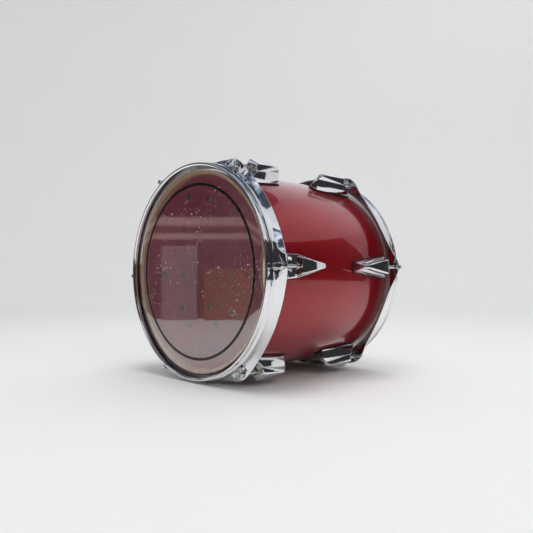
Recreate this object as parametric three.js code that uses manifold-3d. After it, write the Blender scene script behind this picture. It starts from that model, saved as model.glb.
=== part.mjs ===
// Tom tom drum lying on its side, in millimetres. X right, Y along the drum's axis with the batter head
// facing -Y, Z up, floor at Z = 0 under the middle of the drum.
// "up from the edge" below is measured along the axis, from a counterhoop's lip plane towards mid shell.
import * as THREE from 'three';
import { mergeVertices } from 'three/addons/utils/BufferGeometryUtils.js';
import { ConvexGeometry } from 'three/addons/geometries/ConvexGeometry.js';
import Module from 'manifold-3d';

const wasm = await Module();
wasm.setup();

// Overall layout
const OVERALL = 300;            // lip plane to lip plane
const LUGS_PER_HEAD = 6;
const ROLL = 2.5;               // degrees the drum has rolled from lugs-level, towards the bracket side
const RING_STEPS = 72;          // facets round every large ring
const GAP = 0.3;                // clearance between neighbouring pieces

// Shell
const SHELL_R = 152.4;
const SHELL_T = 6.2;
const SHELL_LENGTH = 284;
const EDGE_PEAK_R = 150.2;      // crest of the bearing edge
const EDGE_BEVEL = 4.0;         // depth of the inner 45 degree cut
const EDGE_ROUND = 1.6;         // depth of the outer round-over

// Head film and flesh hoop
const FILM_T = 0.5;
const FILM_SKIRT_END = 17.5;    // up from the edge
const FLESH_IN_R = 154.4;
const FLESH_OUT_R = 160.2;
const FLESH_TOP = 12.4;
const FLESH_BOTTOM = 18.8;

// Counterhoop: flat lip, wall, step that bears on the flesh hoop, then a skirt that flares a little between
// the rods and is turned out flat into a pointed ear under each one
const HOOP_T = 1.9;
const LIP_IN_R = 159.4;
const LIP_OUT_R = 162.0;
const WALL_IN_R = 157.6;
const WALL_OUT_R = 159.4;
const SKIRT_IN_R = 160.7;
const SKIRT_OUT_R = 162.6;
const STEP_TOP = 9.4;
const STEP_BOTTOM = 12.0;
const KNEE_R = 163.2;
const EAR_SEAT = 19.6;          // up from the edge: the knee, and the flat of every ear
const FLOOR_R = 166.0;          // where the hoops touch the floor, mid-way between two ears
const HOOP_EDGE = [             // free edge [radius, up], every 5 degrees away from an ear's centre
  [179.3, EAR_SEAT],
  [176.0, 22.4],
  [171.6, 26.4],
  [168.6, 28.9],
  [167.2, 29.9],
  [FLOOR_R, 30.6],
  [FLOOR_R, 30.8],
];

// Tension rods and insert nuts
const ROD_CIRCLE_R = 170.5;
const ROD_R = 2.75;
const ROD_END = 66;             // up from the edge
const ROD_HOLE_R = 3.6;
const WASHER_R = 6.0;
const WASHER_T = 1.4;
const COLLAR_R = 5.2;
const COLLAR_T = 3.0;
const HEAD_SQUARE = 6.35;
const HEAD_TIP = 4.6;           // up from the edge
const NUT_R = 4.6;
const NUT_BORE_R = 3.15;
const NUT_START = 45.5;
const NUT_LENGTH = 22;

// Lug: a low wedge with a ridge line, and a narrower wedge standing on it. Heights are above the shell.
const LUG_MOUTH = 36.5;         // up from the edge
const LUG_BASE_HALF = 18;
const LUG_TIP_HALF = 7.6;
const LUG_BASE_LENGTH = 69;
const LUG_RIDGE_H = 18.4;
const LUG_RIDGE_HALF = 16;
const LUG_RIDGE_MOUTH = 12.5;
const LUG_RIDGE_APEX = 68.6;
const LUG_NOSE_HALF = 2.8;
const LUG_STEP = 1.8;
const LUG_TOP_H = 28.4;
const LUG_TOP_HALF = 11;
const LUG_TOP_MOUTH = 14.2;
const LUG_TOP_APEX = 61;
const LUG_TOP_APEX_H = 26.8;
const LUG_WALL = 2.4;
const LUG_POCKET = 8;
const PAD_T = 1.6;
const PAD_MARGIN = 1.2;
const SCREW_NEAR = 52.5;        // up from the edge
const SCREW_FAR = 95.2;
const SCREW_R = 2.4;
const SCREW_HOLE_R = 3.0;
const SCREW_HEAD_R = 5.4;        // head and washer together
const SCREW_HEAD_T = 3.4;

// Tom-arm bracket and vent, on the side turned away and down
const BRACKET_ANGLE = 210;
const BRACKET_Y = -39.5;
const VENT_Y = 39.5;
const PLATE_HALF_Y = 39;
const PLATE_HALF_U = 24;
const PLATE_TOP_H = 6.4;
const PLATE_SCREW_Y = 30.4;
const PLATE_SCREW_TURN = 6.6;   // degrees round the shell, either side of the bracket
const BLOCK_HALF_Y = 17;
const BLOCK_HALF_U = 14;
const BLOCK_TOP_H = 33;
const ARM_BORE_R = 6.5;
const ARM_BORE_H = 21;
const WING_BOLT_R = 3.0;
const WING_BOLT_END_H = 28.2;
const VENT_BORE_R = 5.0;

const CHROME = { color: 0xd4d7da, roughness: 0.12, metalness: 1.0 };
const STEEL = { color: 0xb9bdc1, roughness: 0.25, metalness: 1.0 };
const LOOKS = {
  lacquer: { color: 0x7d0d16, roughness: 0.15, metalness: 0.0 },
  film: { color: 0xdfe3e4, roughness: 0.1, metalness: 0.0 },
  alloy: { color: 0xa9adb0, roughness: 0.35, metalness: 1.0 },
  pad: { color: 0x161616, roughness: 0.7, metalness: 0.0 },
  brass: { color: 0xc9c5b4, roughness: 0.3, metalness: 1.0 },
  chrome: CHROME,
  steel: STEEL,
};

const group = new THREE.Group();
const rad = THREE.MathUtils.degToRad;
const RING_CENTRE_Z = FLOOR_R * Math.cos(rad(180 / RING_STEPS));

// ---- solids ----

// Welds a geometry and turns its faces outwards.
function welded(geometry) {
  const plain = geometry.clone();
  plain.deleteAttribute('normal');
  plain.deleteAttribute('uv');
  const solid = mergeVertices(plain, 1e-3);
  const pos = solid.attributes.position;
  const index = Array.from(solid.index.array);
  const kept = [];
  let volume = 0;
  const a = new THREE.Vector3();
  const b = new THREE.Vector3();
  const c = new THREE.Vector3();
  for (let i = 0; i < index.length; i += 3) {
    const [p, q, r] = index.slice(i, i + 3);
    if (p === q || q === r || r === p) continue;
    kept.push(p, q, r);
    a.fromBufferAttribute(pos, p);
    b.fromBufferAttribute(pos, q);
    c.fromBufferAttribute(pos, r);
    volume += a.dot(b.cross(c));
  }
  if (volume < 0) kept.reverse();
  solid.setIndex(kept);
  return solid;
}

function toManifold(geometry) {
  const solid = welded(geometry);
  return new wasm.Manifold(new wasm.Mesh({
    numProp: 3,
    vertProperties: new Float32Array(solid.attributes.position.array),
    triVerts: new Uint32Array(solid.index.array),
  }));
}

function fromManifold(manifold) {
  const mesh = manifold.getMesh();
  const geometry = new THREE.BufferGeometry();
  const stride = mesh.numProp;
  const positions = new Float32Array((mesh.vertProperties.length / stride) * 3);
  for (let i = 0; i < positions.length / 3; i += 1) {
    positions[3 * i] = mesh.vertProperties[stride * i];
    positions[3 * i + 1] = mesh.vertProperties[stride * i + 1];
    positions[3 * i + 2] = mesh.vertProperties[stride * i + 2];
  }
  geometry.setAttribute('position', new THREE.BufferAttribute(positions, 3));
  geometry.setIndex(Array.from(mesh.triVerts));
  return geometry;
}

// A ring about the Y axis from a closed profile of [radius, y]; profileAt(angle) may change with angle.
function ring(profileAt) {
  const rows = [];
  for (let i = 0; i < RING_STEPS; i += 1) {
    const angle = (360 * i) / RING_STEPS;
    const c = Math.cos(rad(angle));
    const s = Math.sin(rad(angle));
    rows.push(profileAt(angle).map(([r, y]) => [r * c, y, r * s]));
  }
  const n = rows[0].length;
  const geometry = new THREE.BufferGeometry();
  geometry.setAttribute('position', new THREE.Float32BufferAttribute(rows.flat(2), 3));
  const index = [];
  for (let i = 0; i < RING_STEPS; i += 1) {
    const next = (i + 1) % RING_STEPS;
    for (let j = 0; j < n; j += 1) {
      const k = (j + 1) % n;
      index.push(i * n + j, i * n + k, next * n + k);
      index.push(i * n + j, next * n + k, next * n + j);
    }
  }
  geometry.setIndex(index);
  return geometry;
}

// A round bar or stepped spindle along +Y: stations are [y, radius].
function spindle(stations, sides) {
  const points = [new THREE.Vector2(0, stations[0][0])];
  stations.forEach(([y, r]) => points.push(new THREE.Vector2(r, y)));
  points.push(new THREE.Vector2(0, stations[stations.length - 1][0]));
  return new THREE.LatheGeometry(points, sides, Math.PI / sides);
}

function tube(y0, y1, inner, outer, sides) {
  const points = [[inner, y0], [outer, y0], [outer, y1], [inner, y1], [inner, y0]];
  return new THREE.LatheGeometry(points.map(([r, y]) => new THREE.Vector2(r, y)), sides, Math.PI / sides);
}

function hull(points) {
  return new ConvexGeometry(points.map((p) => new THREE.Vector3(...p)));
}

// ---- placing ----

// Local frames: x = sideways round the shell, y = along the axis, z = height above the shell's surface.
function ontoShell(geometry, angle) {
  const g = geometry.clone();
  g.translate(0, 0, SHELL_R);
  g.rotateY(rad(90 - angle));
  return g;
}

// Turns a solid built for the batter end (y = up from the edge) to either end of the drum.
function atEnd(geometry, end) {
  const g = geometry.clone();
  if (end === 'batter') {
    g.translate(0, -OVERALL / 2, 0);
  } else {
    g.scale(1, -1, 1);
    g.translate(0, OVERALL / 2, 0);
  }
  return welded(g);
}

function add(name, geometry, look) {
  const g = welded(geometry);
  g.rotateY(rad(-ROLL));
  g.translate(0, 0, RING_CENTRE_Z);
  g.computeVertexNormals();
  const material = new THREE.MeshStandardMaterial(LOOKS[look]);
  const mesh = new THREE.Mesh(g, material);
  mesh.name = name;
  group.add(mesh);
}

const ENDS = ['batter', 'resonant'];
const lugAngles = Array.from({ length: LUGS_PER_HEAD }, (_, i) => (360 * i) / LUGS_PER_HEAD);

// Radial drill through the shell wall, standing at (angle, y) in drum coordinates.
function radialBar(angle, y, h0, h1, r, sides) {
  const bar = spindle([[h0, r], [h1, r]], sides);
  bar.rotateX(Math.PI / 2);
  bar.translate(0, y, 0);
  return ontoShell(bar, angle);
}

// ---- shell ----

function shellSolid() {
  const half = SHELL_LENGTH / 2;
  const inner = SHELL_R - SHELL_T;
  const profile = [
    [inner, -half + EDGE_BEVEL],
    [EDGE_PEAK_R, -half],
    [SHELL_R - 0.8, -half + 0.5],
    [SHELL_R, -half + EDGE_ROUND],
    [SHELL_R, half - EDGE_ROUND],
    [SHELL_R - 0.8, half - 0.5],
    [EDGE_PEAK_R, half],
    [inner, half - EDGE_BEVEL],
  ];
  let solid = toManifold(ring(() => profile));
  const drills = [];
  lugAngles.forEach((angle) => {
    [SCREW_NEAR, SCREW_FAR].forEach((up) => {
      [-1, 1].forEach((side) => {
        drills.push([angle, side * (OVERALL / 2 - up), SCREW_HOLE_R, 8]);
      });
    });
  });
  [-1, 1].forEach((a) => {
    [-1, 1].forEach((b) => {
      drills.push([BRACKET_ANGLE + b * PLATE_SCREW_TURN, BRACKET_Y + a * PLATE_SCREW_Y, SCREW_HOLE_R, 8]);
    });
  });
  drills.push([BRACKET_ANGLE, VENT_Y, VENT_BORE_R + 1.2 + GAP, 16]);
  drills.forEach(([angle, y, r, sides]) => {
    solid = solid.subtract(toManifold(radialBar(angle, y, -14, 6, r, sides)));
  });
  return fromManifold(solid);
}

// ---- heads and hoops ----

function filmSolid() {
  const edge = (OVERALL - SHELL_LENGTH) / 2;
  const under = edge - GAP;
  const top = under - FILM_T;
  const inner = SHELL_R + 0.4;
  const outer = inner + FILM_T;
  const points = [
    [0, top],
    [EDGE_PEAK_R + 0.9, top],
    [outer, top + 2.0],
    [outer, FILM_SKIRT_END],
    [inner, FILM_SKIRT_END],
    [inner, under + 1.7],
    [EDGE_PEAK_R + 0.6, under],
    [0, under],
  ];
  return new THREE.LatheGeometry(points.map(([r, y]) => new THREE.Vector2(r, y)), RING_STEPS);
}

function fleshSolid() {
  return ring(() => [
    [FLESH_IN_R, FLESH_TOP],
    [FLESH_OUT_R, FLESH_TOP],
    [FLESH_OUT_R, FLESH_BOTTOM],
    [FLESH_IN_R, FLESH_BOTTOM],
  ]);
}

// Free edge of the hoop's skirt at an angle round the drum.
function hoopEdge(angle) {
  const spacing = 360 / LUGS_PER_HEAD;
  const off = Math.abs(((angle + spacing / 2) % spacing) - spacing / 2);
  return HOOP_EDGE[Math.round((off * RING_STEPS) / 360)];
}

// Sheet-metal offset: the direction, one thickness long, from the outer face to the inner one.
function inward(from, to) {
  const along = new THREE.Vector2(to[0] - from[0], to[1] - from[1]).normalize();
  return new THREE.Vector2(-along.y, along.x);
}

function counterhoopSolid() {
  let solid = toManifold(ring((angle) => {
    const step = [SKIRT_OUT_R, STEP_BOTTOM - 0.6];
    const knee = [KNEE_R, EAR_SEAT];
    const edge = hoopEdge(angle);
    const above = inward(step, knee);
    const below = inward(knee, edge);
    const mitre = above.clone().add(below).multiplyScalar(HOOP_T / (1 + above.dot(below)));
    return [
      [LIP_IN_R, 0],
      [LIP_OUT_R, 0],
      [LIP_OUT_R, 2.2],
      [WALL_OUT_R, 3.4],
      [WALL_OUT_R, STEP_TOP],
      step,
      knee,
      edge,
      [edge[0] + HOOP_T * below.x, edge[1] + HOOP_T * below.y],
      [knee[0] + mitre.x, knee[1] + mitre.y],
      [SKIRT_IN_R, STEP_BOTTOM],
      [WALL_IN_R, STEP_TOP + 1.4],
      [WALL_IN_R, 1.6],
    ];
  }));
  lugAngles.forEach((angle) => {
    const drill = spindle([[EAR_SEAT - 3, ROD_HOLE_R], [EAR_SEAT + 6, ROD_HOLE_R]], 8);
    drill.translate(ROD_CIRCLE_R * Math.cos(rad(angle)), 0, ROD_CIRCLE_R * Math.sin(rad(angle)));
    solid = solid.subtract(toManifold(drill));
  });
  return fromManifold(solid);
}

// ---- pieces mounted on the shell ----

// A solid cylinder on the drum's axis whose facets run parallel to the shell's.
function core(radius) {
  const points = [[0, -OVERALL], [radius, -OVERALL], [radius, OVERALL], [0, OVERALL]];
  return toManifold(new THREE.LatheGeometry(points.map(([r, y]) => new THREE.Vector2(r, y)), RING_STEPS));
}

// Stands a local solid on the shell and hollows its underside to sit over the pad.
function seated(local, angle, y) {
  const placed = fromManifold(local);
  placed.translate(0, y, 0);
  return toManifold(ontoShell(placed, angle)).subtract(core(SHELL_R + PAD_T + 2 * GAP));
}

// A fixing screw up through the wall into a casting, with its head and washer inside the shell.
function fixingScrew(angle, y) {
  const wall = -SHELL_T - GAP;
  const screw = spindle([
    [wall - SCREW_HEAD_T, SCREW_HEAD_R],
    [wall - 0.2, SCREW_HEAD_R],
    [wall - 0.2, SCREW_R],
    [PAD_T + 2.6, SCREW_R],
  ], 8);
  screw.rotateX(Math.PI / 2);
  screw.translate(0, y, 0);
  return toManifold(ontoShell(screw, angle));
}

// A pad lying on the shell with the given outline (x, y pairs) and clearance holes for [angle, y] screws.
function padSolid(outline, angle, y, screws) {
  const corners = outline.flatMap(([u, v]) => [[u, v, -6], [u, v, 6]]);
  const block = hull(corners);
  block.translate(0, y, 0);
  const sleeve = core(SHELL_R + GAP + PAD_T).subtract(core(SHELL_R + GAP));
  let solid = toManifold(ontoShell(block, angle)).intersect(sleeve);
  screws.forEach(([at, sy]) => {
    solid = solid.subtract(toManifold(radialBar(at, sy, -10, 10, SCREW_HOLE_R, 8)));
  });
  return fromManifold(solid);
}

// ---- lug: casting and its two fixing screws, standing at angle 0 of the batter end ----

function lugSolid() {
  const half = (t) => LUG_BASE_HALF + (LUG_TIP_HALF - LUG_BASE_HALF) * t;
  const sides = [-1, 1];
  const base = sides.flatMap((s) => [
    [s * half(0), 0, -1],
    [s * half(0), 0, PAD_T + 2],
    [s * half(1), LUG_BASE_LENGTH, -1],
    [s * half(1), LUG_BASE_LENGTH, PAD_T + 2],
  ]);
  const ridge = sides.flatMap((s) => [
    [s * LUG_RIDGE_HALF, LUG_RIDGE_MOUTH, LUG_RIDGE_H],
    [s * LUG_NOSE_HALF, LUG_RIDGE_APEX, LUG_RIDGE_H],
  ]);
  const upper = sides.flatMap((s) => [
    [s * (LUG_RIDGE_HALF - LUG_STEP), LUG_RIDGE_MOUTH + 0.6, LUG_RIDGE_H - 1],
    [s * LUG_TOP_HALF, LUG_TOP_MOUTH, LUG_TOP_H],
    [s * (LUG_NOSE_HALF - 0.8), LUG_RIDGE_APEX - 1.6, LUG_RIDGE_H - 1],
    [s * (LUG_NOSE_HALF - 0.8), LUG_RIDGE_APEX - 1.6, LUG_RIDGE_H + 3],
    [s * (LUG_NOSE_HALF - 1.2), LUG_TOP_APEX + 2.4, LUG_TOP_APEX_H - 2],
    [s * (LUG_NOSE_HALF - 1.2), LUG_TOP_APEX, LUG_TOP_APEX_H],
  ]);
  let solid = toManifold(hull([...base, ...ridge])).add(toManifold(hull(upper)));

  // Pocket behind the slanted mouth.
  const floor = PAD_T + 3.2;
  const pocketTop = LUG_RIDGE_H - 5.5;
  const pocket = sides.flatMap((s) => [
    [s * (LUG_BASE_HALF - LUG_WALL - 0.6), -6, floor],
    [s * (LUG_BASE_HALF - LUG_WALL - 1.6), LUG_POCKET, floor],
    [s * (LUG_RIDGE_HALF - LUG_WALL - 1.2), -6, pocketTop],
    [s * (LUG_RIDGE_HALF - LUG_WALL - 2.4), LUG_RIDGE_MOUTH + LUG_POCKET - 3, pocketTop],
  ]);
  solid = solid.subtract(toManifold(hull(pocket)));

  // Seat for the insert nut.
  const seatEnd = NUT_START - LUG_MOUTH + NUT_LENGTH + 0.4;
  const bore = spindle([[-8, NUT_R + GAP], [seatEnd, NUT_R + GAP]], 10);
  bore.translate(0, 0, ROD_CIRCLE_R - SHELL_R);
  solid = solid.subtract(toManifold(bore));

  let lug = seated(solid, 0, LUG_MOUTH);
  [SCREW_NEAR, SCREW_FAR].forEach((up) => {
    lug = lug.add(fixingScrew(0, up));
  });
  return fromManifold(lug);
}

function lugPadSolid() {
  const outline = [-1, 1].flatMap((s) => [
    [s * (LUG_BASE_HALF + PAD_MARGIN), LUG_MOUTH - PAD_MARGIN],
    [s * (LUG_TIP_HALF + PAD_MARGIN), LUG_MOUTH + LUG_BASE_LENGTH + 1.6 * PAD_MARGIN],
  ]);
  return padSolid(outline, 0, 0, [[0, SCREW_NEAR], [0, SCREW_FAR]]);
}

// ---- tension rod: square head, collar, washer and shaft, standing at angle 0 of the batter end ----

function rodSolid(headTurn) {
  const seat = EAR_SEAT - GAP;
  const collarTop = seat - WASHER_T - COLLAR_T;
  const turned = spindle([
    [collarTop, COLLAR_R],
    [seat - WASHER_T, COLLAR_R],
    [seat - WASHER_T, WASHER_R],
    [seat, WASHER_R],
    [seat, ROD_R],
    [ROD_END, ROD_R],
  ], 8);
  const length = collarTop + 0.5 - HEAD_TIP;
  const head = new THREE.BoxGeometry(HEAD_SQUARE, length, HEAD_SQUARE);
  head.translate(0, HEAD_TIP + length / 2, 0);
  head.rotateY(rad(headTurn));
  const rod = fromManifold(toManifold(turned).add(toManifold(head)));
  rod.translate(ROD_CIRCLE_R, 0, 0);
  return rod;
}

function nutSolid() {
  const nut = tube(NUT_START, NUT_START + NUT_LENGTH, NUT_BORE_R, NUT_R, 10);
  nut.translate(ROD_CIRCLE_R, 0, 0);
  return nut;
}

// ---- tom-arm bracket and vent ----

const plateScrews = [-1, 1].flatMap((a) => [-1, 1].map((b) => (
  [BRACKET_ANGLE + a * PLATE_SCREW_TURN, BRACKET_Y + b * PLATE_SCREW_Y])));

function bracketSolid() {
  const corner = 8;
  const plate = [-1, 1].flatMap((a) => [-1, 1].flatMap((b) => [
    [a * PLATE_HALF_U, b * (PLATE_HALF_Y - corner), -3],
    [a * (PLATE_HALF_U - corner), b * PLATE_HALF_Y, -3],
    [a * PLATE_HALF_U, b * (PLATE_HALF_Y - corner), PLATE_TOP_H - 2],
    [a * (PLATE_HALF_U - corner), b * PLATE_HALF_Y, PLATE_TOP_H - 2],
    [a * (PLATE_HALF_U - 2), b * (PLATE_HALF_Y - corner - 1), PLATE_TOP_H],
    [a * (PLATE_HALF_U - corner - 1), b * (PLATE_HALF_Y - 2), PLATE_TOP_H],
  ]));
  const block = [-1, 1].flatMap((a) => [-1, 1].flatMap((b) => [
    [a * BLOCK_HALF_U, b * BLOCK_HALF_Y, PLATE_TOP_H - 1],
    [a * BLOCK_HALF_U, b * BLOCK_HALF_Y, ARM_BORE_H],
    [a * (BLOCK_HALF_U - 5), b * BLOCK_HALF_Y, BLOCK_TOP_H],
  ]));
  let solid = toManifold(hull(plate)).add(toManifold(hull(block)));
  const bore = spindle([[-BLOCK_HALF_Y - 3, ARM_BORE_R], [BLOCK_HALF_Y + 3, ARM_BORE_R]], 16);
  bore.translate(0, 0, ARM_BORE_H);
  solid = solid.subtract(toManifold(bore));
  const tapped = spindle([[ARM_BORE_H, WING_BOLT_R + 0.5], [BLOCK_TOP_H + 3, WING_BOLT_R + 0.5]], 8);
  tapped.rotateX(Math.PI / 2);
  solid = solid.subtract(toManifold(tapped));
  let bracket = seated(solid, BRACKET_ANGLE, BRACKET_Y);
  plateScrews.forEach(([angle, y]) => {
    bracket = bracket.add(fixingScrew(angle, y));
  });
  return fromManifold(bracket);
}

function bracketPadSolid() {
  const outline = [-1, 1].flatMap((a) => [-1, 1].flatMap((b) => [
    [a * (PLATE_HALF_U + PAD_MARGIN), b * (PLATE_HALF_Y - 7)],
    [a * (PLATE_HALF_U - 7), b * (PLATE_HALF_Y + PAD_MARGIN)],
  ]));
  return padSolid(outline, BRACKET_ANGLE, BRACKET_Y, plateScrews);
}

// Clamp bolt with two wings along the drum, screwed towards the arm's bore.
function wingBoltSolid() {
  const seat = BLOCK_TOP_H + GAP;
  const bolt = spindle([
    [WING_BOLT_END_H, WING_BOLT_R],
    [seat, WING_BOLT_R],
    [seat, 5.5],
    [seat + 7, 4.6],
  ], 8);
  bolt.rotateX(Math.PI / 2);
  let solid = toManifold(bolt);
  [-1, 1].forEach((s) => {
    const wing = [-1, 1].flatMap((a) => [
      [a * 2.2, s * 2, seat + 1.5],
      [a * 2.2, s * 2, seat + 6.5],
      [a * 1.6, s * 10, seat + 4],
      [a * 1.6, s * 14, seat + 12],
      [a * 1.6, s * 10.5, seat + 16],
      [a * 1.6, s * 6.5, seat + 13],
    ]);
    solid = solid.add(toManifold(hull(wing)));
  });
  const placed = fromManifold(solid);
  placed.translate(0, BRACKET_Y, 0);
  return ontoShell(placed, BRACKET_ANGLE);
}

function ventSolid() {
  const profile = [
    [VENT_BORE_R, -7.9],
    [9, -7.9],
    [9, -6.7],
    [VENT_BORE_R + 1.2, -6.7],
    [VENT_BORE_R + 1.2, 0.4],
    [9, 0.4],
    [9, 1.2],
    [7.8, 1.9],
    [VENT_BORE_R, 1.9],
    [VENT_BORE_R, -7.9],
  ];
  const vent = new THREE.LatheGeometry(profile.map(([r, y]) => new THREE.Vector2(r, y)), 16);
  vent.rotateX(Math.PI / 2);
  vent.translate(0, VENT_Y, 0);
  return ontoShell(vent, BRACKET_ANGLE);
}

// ---- assembly ----

function turned(geometry, angle) {
  const g = geometry.clone();
  g.rotateY(rad(-angle));
  return g;
}

add('shell', shellSolid(), 'lacquer');
const film = filmSolid();
const flesh = fleshSolid();
const counterhoop = counterhoopSolid();
const lug = lugSolid();
const lugPad = lugPadSolid();
const nut = nutSolid();

ENDS.forEach((end, e) => {
  add(`${end}_head_film`, atEnd(film, end), 'film');
  add(`${end}_flesh_hoop`, atEnd(flesh, end), 'alloy');
  add(`${end}_counterhoop`, atEnd(counterhoop, end), 'chrome');
  lugAngles.forEach((angle, i) => {
    const rod = rodSolid((31 * i + 17 * e) % 90);
    const label = `${end}_${i + 1}`;
    add(`lug_${label}`, turned(atEnd(lug, end), angle), 'chrome');
    add(`lug_pad_${label}`, turned(atEnd(lugPad, end), angle), 'pad');
    add(`insert_nut_${label}`, turned(atEnd(nut, end), angle), 'brass');
    add(`tension_rod_${label}`, turned(atEnd(rod, end), angle), 'steel');
  });
});

add('arm_bracket', bracketSolid(), 'chrome');
add('arm_bracket_pad', bracketPadSolid(), 'pad');
add('arm_bracket_wing_bolt', wingBoltSolid(), 'steel');
add('vent_grommet', ventSolid(), 'chrome');

export default group;
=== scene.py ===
"""Looks of a tom tom drum lying on its side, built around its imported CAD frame. Metres, Z up."""

import math

import bmesh
import bpy
import numpy as np
from mathutils import Matrix, Vector


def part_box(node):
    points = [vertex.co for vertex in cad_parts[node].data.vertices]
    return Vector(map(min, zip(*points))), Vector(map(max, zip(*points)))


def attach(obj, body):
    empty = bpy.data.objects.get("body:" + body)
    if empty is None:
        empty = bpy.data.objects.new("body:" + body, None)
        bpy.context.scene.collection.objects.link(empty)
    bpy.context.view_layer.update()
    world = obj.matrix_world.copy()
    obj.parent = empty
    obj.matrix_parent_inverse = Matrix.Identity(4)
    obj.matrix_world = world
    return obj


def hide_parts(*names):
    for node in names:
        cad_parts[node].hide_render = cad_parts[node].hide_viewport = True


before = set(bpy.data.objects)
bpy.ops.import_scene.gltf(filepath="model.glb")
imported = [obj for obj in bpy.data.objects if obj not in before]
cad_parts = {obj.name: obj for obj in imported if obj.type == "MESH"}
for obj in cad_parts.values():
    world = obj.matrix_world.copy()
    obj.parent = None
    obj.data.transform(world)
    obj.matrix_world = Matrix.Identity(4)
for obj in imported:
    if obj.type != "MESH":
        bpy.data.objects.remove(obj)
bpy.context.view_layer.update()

MM = 0.001
ENDS = ("batter", "resonant")
LUGS = 6
ROLL = math.radians(2.5)                 # how far the drum has rolled from lugs-level
HOOP_LOW, HOOP_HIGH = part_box("batter_counterhoop")
AXIS_Z = (HOOP_LOW.z + HOOP_HIGH.z) / 2  # height of the drum's axis above the floor
HALF = -HOOP_LOW.y                       # from mid drum to a lip plane
ON_AXIS = Matrix.Translation((0, 0, AXIS_Z)) @ Matrix.Rotation(-ROLL, 4, "Y")

# Sizes in millimetres, as in the CAD. "up" is measured along the axis from a lip plane to mid shell.
SHELL_R = 152.4
SHELL_T = 6.2
EDGE_UP = 8.0
EDGE_PEAK_R = 150.2
EDGE_BEVEL = 4.0
BARE_BAND = 9.0                          # left unstained inside each bearing edge
FILM_UP = 7.2
FILM_T = 0.5
FILM_BEND = 2.4                          # radius of the film's collar
FILM_CLEARANCE = 0.4                     # between the shell and the film's skirt
FILM_SKIRT_END = 17.5
RING_R = 130.6
RING_WIDTH = 4.0
FLESH_IN_R, FLESH_OUT_R = 154.4, 160.2
FLESH_TOP, FLESH_BOTTOM = 12.4, 18.8
HOOP_T = 1.9
EAR_SEAT = 19.6
ROD_R = 170.5                            # radius of the circle the tension rods stand on
ROD_SHAFT_R = 2.72
EAR_HOLE_R = 3.6
LUG_MOUTH = 36.5
LUG_SEAT_R = 4.9                         # radius of the hole that the insert nut sits in
PAD_T = 1.6
PAD_CLEARANCE = 0.3                      # on each side of a pad
CAST_SEAT_R = SHELL_R + PAD_T + 2 * PAD_CLEARANCE
SCREW_UPS = (52.5, 95.2)
SCREW_SHAFT_R = 2.4
BRACKET_ANGLE = 210
BRACKET_Y = -39.5
BRACKET_SCREWS = [(BRACKET_ANGLE + a * 6.6, BRACKET_Y + b * 30.4) for a in (-1, 1) for b in (-1, 1)]
ARM_BORE_R = 6.5
ARM_BORE_OUT = 21                        # height of the arm bore's axis above the shell's surface
CLAMP_HOLE_R = 3.4
VENT_Y = 39.5
VENT_BORE_R = 5.0
SIDES = 288                              # steps round the shell and the heads


# ---------------------------------------------------------------- mesh helpers

def new_object(name, vertices, faces, slots=None, materials=(), sharp=32):
    """A mesh object from points in millimetres, smooth but for edges sharper than an angle."""
    mesh = bpy.data.meshes.new(name)
    mesh.from_pydata([Vector(v) * MM for v in vertices], [], faces)
    for material in materials:
        mesh.materials.append(material)
    if slots is not None:
        mesh.polygons.foreach_set("material_index", slots)
    obj = bpy.data.objects.new(name, mesh)
    bpy.context.scene.collection.objects.link(obj)
    face_outwards(mesh)
    shade(mesh, sharp)
    return obj


def face_outwards(mesh):
    """Welds doubled points and turns every face of a closed mesh outwards."""
    bm = bmesh.new()
    bm.from_mesh(mesh)
    bmesh.ops.remove_doubles(bm, verts=bm.verts, dist=1e-7)
    bmesh.ops.recalc_face_normals(bm, faces=bm.faces)
    bm.to_mesh(mesh)
    bm.free()


def shade(mesh, sharp=32):
    """Smooth shading but for edges sharper than an angle in degrees."""
    mesh.polygons.foreach_set("use_smooth", [True] * len(mesh.polygons))
    mesh.set_sharp_from_angle(angle=math.radians(sharp))
    mesh.update()


def apply_modifiers(obj):
    """Leaves the object with the mesh that its modifiers make."""
    bpy.context.view_layer.update()
    evaluated = obj.evaluated_get(bpy.context.evaluated_depsgraph_get())
    mesh = bpy.data.meshes.new_from_object(evaluated)
    obj.modifiers.clear()
    obj.data = mesh
    return obj


def cut(obj, tool, operation="DIFFERENCE"):
    """Boolean of two objects. The tool is used up."""
    modifier = obj.modifiers.new("cut", "BOOLEAN")
    modifier.operation = operation
    modifier.solver = "EXACT"
    modifier.object = tool
    apply_modifiers(obj)
    bpy.data.objects.remove(tool)
    return obj


def bevel(obj, width, segments=3, angle=25):
    """Rounds the edges sharper than an angle in degrees, by a width in millimetres."""
    modifier = obj.modifiers.new("bevel", "BEVEL")
    modifier.width = width * MM
    modifier.segments = segments
    modifier.limit_method = "ANGLE"
    modifier.angle_limit = math.radians(angle)
    modifier.harden_normals = False
    apply_modifiers(obj)
    shade(obj.data)
    return obj


def join(objects, name):
    """Several objects as one, keeping each one's materials."""
    bm = bmesh.new()
    materials = []
    for obj in objects:
        mesh = obj.data
        mesh.transform(obj.matrix_world)
        index = []
        for material in mesh.materials:
            if material not in materials:
                materials.append(material)
            index.append(materials.index(material))
        for polygon in mesh.polygons:
            polygon.material_index = index[polygon.material_index] if index else 0
        bm.from_mesh(mesh)
    mesh = bpy.data.meshes.new(name)
    bm.to_mesh(mesh)
    bm.free()
    for material in materials:
        mesh.materials.append(material)
    for obj in objects:
        bpy.data.objects.remove(obj)
    joined = bpy.data.objects.new(name, mesh)
    bpy.context.scene.collection.objects.link(joined)
    shade(mesh)
    return joined


def take_mesh(obj):
    """The object's mesh, for linked copies. The object goes."""
    mesh = obj.data
    bpy.data.objects.remove(obj)
    return mesh


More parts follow.
